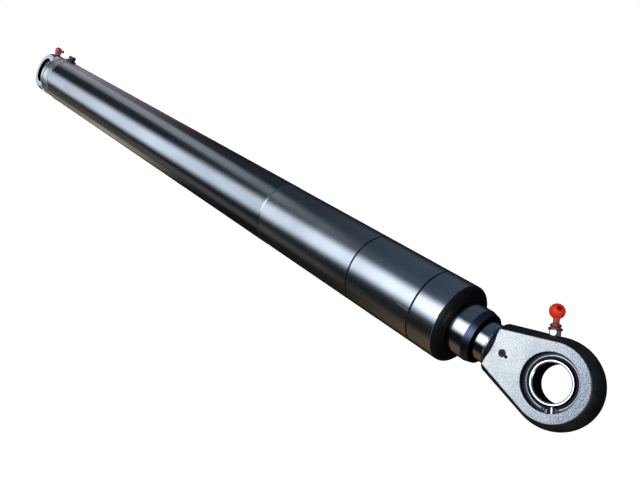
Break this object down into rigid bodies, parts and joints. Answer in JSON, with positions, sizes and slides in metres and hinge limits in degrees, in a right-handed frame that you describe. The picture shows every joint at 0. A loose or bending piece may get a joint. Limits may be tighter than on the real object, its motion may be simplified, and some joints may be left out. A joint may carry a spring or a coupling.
{
  "type": "telescopic hydraulic cylinder",
  "caption": "Telescopic hydraulic cylinder, closed: round barrel, sliding intermediate stage and chromed rod, with a spherical-bearing eye and a capped grease nipple at each end.",
  "frame": {"origin": "centre of the pin bore in the rear (barrel end) eye", "axes": "+X along the cylinder axis towards the front eye, +Y along the pin bores, +Z to the side of the grease nipples and the port; cylinder closed"},
  "size_m": [1.899, 0.122, 0.1527],
  "materials": {
    "drawn_steel": "polished drawn tube with fine lengthwise lines; turned finish towards the front",
    "eye_steel": "forged and milled steel, sandblasted grain",
    "weld_steel": "weld bead, rippled",
    "dark_steel": "black oxide, satin",
    "honed_steel": "ground and polished",
    "chrome": "hard chrome, polished",
    "machined_steel": "machined",
    "bearing_steel": "ground bearing steel",
    "zinc": "bright zinc plate",
    "seal_rubber": "black rubber",
    "seal_blue": "blue polyurethane",
    "guide_resin": "fabric-filled resin",
    "plug_plastic": "black moulded plastic",
    "cap_red": "red moulded rubber"
  },
  "bodies": {
    "barrel": {"barrel_tube": "drawn_steel", "rear_eye": "eye_steel", "base_weld": "weld_steel", "port_boss": "dark_steel", "head_gland": "dark_steel", "head_lock_screw": "dark_steel", "head_wiper": "seal_rubber", "head_rod_seal": "seal_blue", "head_guide_rings": "guide_resin", "head_o_ring": "seal_rubber", "rear_outer_race": "bearing_steel", "rear_circlips": "dark_steel", "rear_nipple": "zinc"},
    "rear_bearing": {"rear_inner_race": "bearing_steel"},
    "rear_check": {"rear_nipple_ball": "bearing_steel"},
    "rear_cap": {"rear_nipple_cap": "cap_red"},
    "plug": {"port_plug": "plug_plastic"},
    "stage": {"stage_tube": "honed_steel", "stage_piston": "machined_steel", "stage_piston_seal": "seal_blue", "stage_piston_guides": "guide_resin", "stage_stop_tube": "machined_steel", "stage_gland": "dark_steel", "stage_wiper": "seal_rubber", "stage_rod_seal": "seal_blue", "stage_guide_rings": "guide_resin", "stage_o_ring": "seal_rubber"},
    "rod": {"rod": "chrome", "rod_piston": "machined_steel", "rod_piston_seal": "seal_blue", "rod_piston_guides": "guide_resin", "rod_spacer": "machined_steel", "rod_nut": "machined_steel", "rod_washer": "machined_steel", "front_eye": "eye_steel", "eye_set_screw": "dark_steel", "front_outer_race": "bearing_steel", "front_circlips": "dark_steel", "front_nipple": "zinc"},
    "front_bearing": {"front_inner_race": "bearing_steel"},
    "front_check": {"front_nipple_ball": "bearing_steel"},
    "front_cap": {"front_nipple_cap": "cap_red"}
  },
  "joints": [
    {"name": "stage_slide", "type": "slide", "parent": "barrel", "child": "stage", "axis": [1, 0, 0], "range_m": [0, 1.19]},
    {"name": "rod_slide", "type": "slide", "parent": "stage", "child": "rod", "axis": [1, 0, 0], "range_m": [0, 1.19]},
    {"name": "rear_pin_turn", "type": "hinge", "parent": "barrel", "child": "rear_bearing", "pos_m": [0, 0, 0], "axis": [0, 1, 0], "continuous": true},
    {"name": "front_pin_turn", "type": "hinge", "parent": "rod", "child": "front_bearing", "pos_m": [1.78, 0, 0], "axis": [0, 1, 0], "continuous": true},
    {"name": "rear_cap_pull", "type": "slide", "parent": "barrel", "child": "rear_cap", "axis": [-0.2756, 0, 0.9613], "range_m": [0, 0.03]},
    {"name": "front_cap_pull", "type": "slide", "parent": "rod", "child": "front_cap", "axis": [-0.3907, 0, 0.9205], "range_m": [0, 0.03]},
    {"name": "port_plug_pull", "type": "slide", "parent": "barrel", "child": "plug", "axis": [0, 0, 1], "range_m": [0, 0.04]},
    {"name": "rear_check_lift", "type": "slide", "parent": "barrel", "child": "rear_check", "axis": [0.2756, 0, -0.9613], "range_m": [0, 0.001]},
    {"name": "front_check_lift", "type": "slide", "parent": "rod", "child": "front_check", "axis": [0.3907, 0, -0.9205], "range_m": [0, 0.001]}
  ]
}
